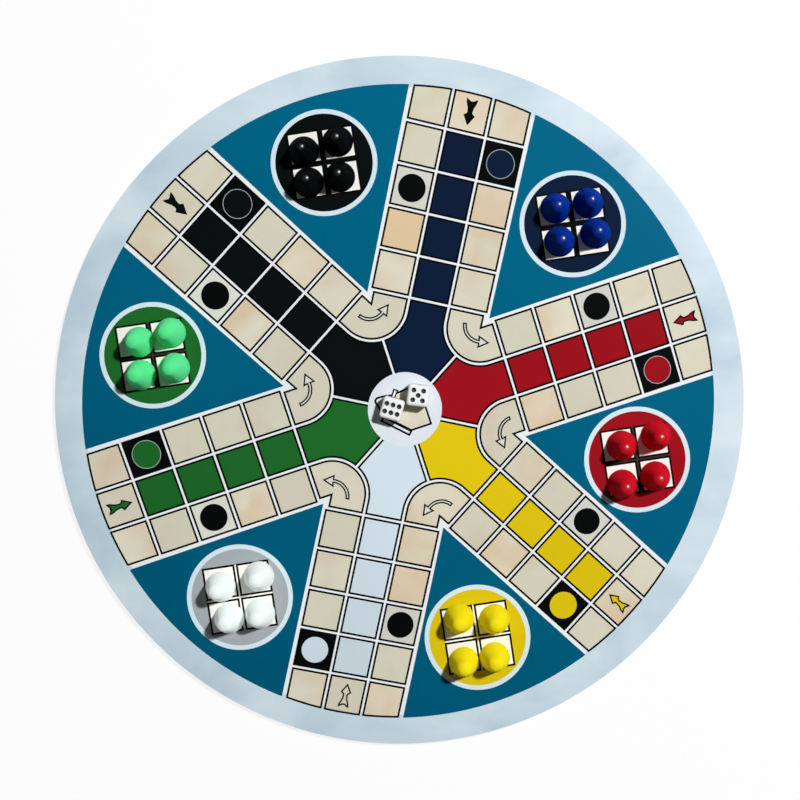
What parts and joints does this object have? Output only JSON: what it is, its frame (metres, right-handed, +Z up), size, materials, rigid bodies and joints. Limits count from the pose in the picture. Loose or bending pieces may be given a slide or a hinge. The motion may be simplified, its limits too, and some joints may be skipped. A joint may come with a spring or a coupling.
{
  "type": "race-game board with pawns and dice",
  "caption": "Round race-game board: a printed sheet with a star-shaped track on a stiff core, coloured pawns standing in round yards and dice lying in the middle. The pawns and dice lift off.",
  "frame": {"origin": "middle of the board's underside", "axes": "+Z up out of the printed face, +X to the right and +Y away from the viewer as the board lies in the picture"},
  "size_m": [0.35, 0.35, 0.0275],
  "materials": {
    "backing": "matt white backing paper",
    "core": "plain fibreboard",
    "edge": "satin edge band",
    "print": "glossy laminated print",
    "pawn_blue": "glossy moulded plastic",
    "pawn_black": "glossy moulded plastic",
    "pawn_green": "satin moulded plastic",
    "pawn_white": "satin moulded plastic",
    "pawn_yellow": "satin moulded plastic",
    "pawn_red": "glossy moulded plastic",
    "die": "polished plastic with dark painted spots"
  },
  "bodies": {
    "board": {"backing_sheet": "backing", "core_panel": "core", "edge_band": "edge", "printed_sheet": "print"},
    "pawn_blue_1": {"pawn_blue_1": "pawn_blue"},
    "pawn_blue_2": {"pawn_blue_2": "pawn_blue"},
    "pawn_blue_3": {"pawn_blue_3": "pawn_blue"},
    "pawn_blue_4": {"pawn_blue_4": "pawn_blue"},
    "pawn_black_1": {"pawn_black_1": "pawn_black"},
    "pawn_black_2": {"pawn_black_2": "pawn_black"},
    "pawn_black_3": {"pawn_black_3": "pawn_black"},
    "pawn_black_4": {"pawn_black_4": "pawn_black"},
    "pawn_green_1": {"pawn_green_1": "pawn_green"},
    "pawn_green_2": {"pawn_green_2": "pawn_green"},
    "pawn_green_3": {"pawn_green_3": "pawn_green"},
    "pawn_green_4": {"pawn_green_4": "pawn_green"},
    "pawn_white_1": {"pawn_white_1": "pawn_white"},
    "pawn_white_2": {"pawn_white_2": "pawn_white"},
    "pawn_white_3": {"pawn_white_3": "pawn_white"},
    "pawn_white_4": {"pawn_white_4": "pawn_white"},
    "pawn_yellow_1": {"pawn_yellow_1": "pawn_yellow"},
    "pawn_yellow_2": {"pawn_yellow_2": "pawn_yellow"},
    "pawn_yellow_3": {"pawn_yellow_3": "pawn_yellow"},
    "pawn_yellow_4": {"pawn_yellow_4": "pawn_yellow"},
    "pawn_red_1": {"pawn_red_1": "pawn_red"},
    "pawn_red_2": {"pawn_red_2": "pawn_red"},
    "pawn_red_3": {"pawn_red_3": "pawn_red"},
    "pawn_red_4": {"pawn_red_4": "pawn_red"},
    "die_1": {"die_1": "die"},
    "die_2": {"die_2": "die"}
  },
  "joints": [
    {"name": "lift_blue_1", "type": "slide", "parent": "board", "child": "pawn_blue_1", "axis": [0, 0, 1], "range_m": [0, 0.06]},
    {"name": "lift_blue_2", "type": "slide", "parent": "board", "child": "pawn_blue_2", "axis": [0, 0, 1], "range_m": [0, 0.06]},
    {"name": "lift_blue_3", "type": "slide", "parent": "board", "child": "pawn_blue_3", "axis": [0, 0, 1], "range_m": [0, 0.06]},
    {"name": "lift_blue_4", "type": "slide", "parent": "board", "child": "pawn_blue_4", "axis": [0, 0, 1], "range_m": [0, 0.06]},
    {"name": "lift_black_1", "type": "slide", "parent": "board", "child": "pawn_black_1", "axis": [0, 0, 1], "range_m": [0, 0.06]},
    {"name": "lift_black_2", "type": "slide", "parent": "board", "child": "pawn_black_2", "axis": [0, 0, 1], "range_m": [0, 0.06]},
    {"name": "lift_black_3", "type": "slide", "parent": "board", "child": "pawn_black_3", "axis": [0, 0, 1], "range_m": [0, 0.06]},
    {"name": "lift_black_4", "type": "slide", "parent": "board", "child": "pawn_black_4", "axis": [0, 0, 1], "range_m": [0, 0.06]},
    {"name": "lift_green_1", "type": "slide", "parent": "board", "child": "pawn_green_1", "axis": [0, 0, 1], "range_m": [0, 0.06]},
    {"name": "lift_green_2", "type": "slide", "parent": "board", "child": "pawn_green_2", "axis": [0, 0, 1], "range_m": [0, 0.06]},
    {"name": "lift_green_3", "type": "slide", "parent": "board", "child": "pawn_green_3", "axis": [0, 0, 1], "range_m": [0, 0.06]},
    {"name": "lift_green_4", "type": "slide", "parent": "board", "child": "pawn_green_4", "axis": [0, 0, 1], "range_m": [0, 0.06]},
    {"name": "lift_white_1", "type": "slide", "parent": "board", "child": "pawn_white_1", "axis": [0, 0, 1], "range_m": [0, 0.06]},
    {"name": "lift_white_2", "type": "slide", "parent": "board", "child": "pawn_white_2", "axis": [0, 0, 1], "range_m": [0, 0.06]},
    {"name": "lift_white_3", "type": "slide", "parent": "board", "child": "pawn_white_3", "axis": [0, 0, 1], "range_m": [0, 0.06]},
    {"name": "lift_white_4", "type": "slide", "parent": "board", "child": "pawn_white_4", "axis": [0, 0, 1], "range_m": [0, 0.06]},
    {"name": "lift_yellow_1", "type": "slide", "parent": "board", "child": "pawn_yellow_1", "axis": [0, 0, 1], "range_m": [0, 0.06]},
    {"name": "lift_yellow_2", "type": "slide", "parent": "board", "child": "pawn_yellow_2", "axis": [0, 0, 1], "range_m": [0, 0.06]},
    {"name": "lift_yellow_3", "type": "slide", "parent": "board", "child": "pawn_yellow_3", "axis": [0, 0, 1], "range_m": [0, 0.06]},
    {"name": "lift_yellow_4", "type": "slide", "parent": "board", "child": "pawn_yellow_4", "axis": [0, 0, 1], "range_m": [0, 0.06]},
    {"name": "lift_red_1", "type": "slide", "parent": "board", "child": "pawn_red_1", "axis": [0, 0, 1], "range_m": [0, 0.06]},
    {"name": "lift_red_2", "type": "slide", "parent": "board", "child": "pawn_red_2", "axis": [0, 0, 1], "range_m": [0, 0.06]},
    {"name": "lift_red_3", "type": "slide", "parent": "board", "child": "pawn_red_3", "axis": [0, 0, 1], "range_m": [0, 0.06]},
    {"name": "lift_red_4", "type": "slide", "parent": "board", "child": "pawn_red_4", "axis": [0, 0, 1], "range_m": [0, 0.06]},
    {"name": "lift_die_1", "type": "slide", "parent": "board", "child": "die_1", "axis": [0, 0, 1], "range_m": [0, 0.06]},
    {"name": "lift_die_2", "type": "slide", "parent": "board", "child": "die_2", "axis": [0, 0, 1], "range_m": [0, 0.06]}
  ]
}
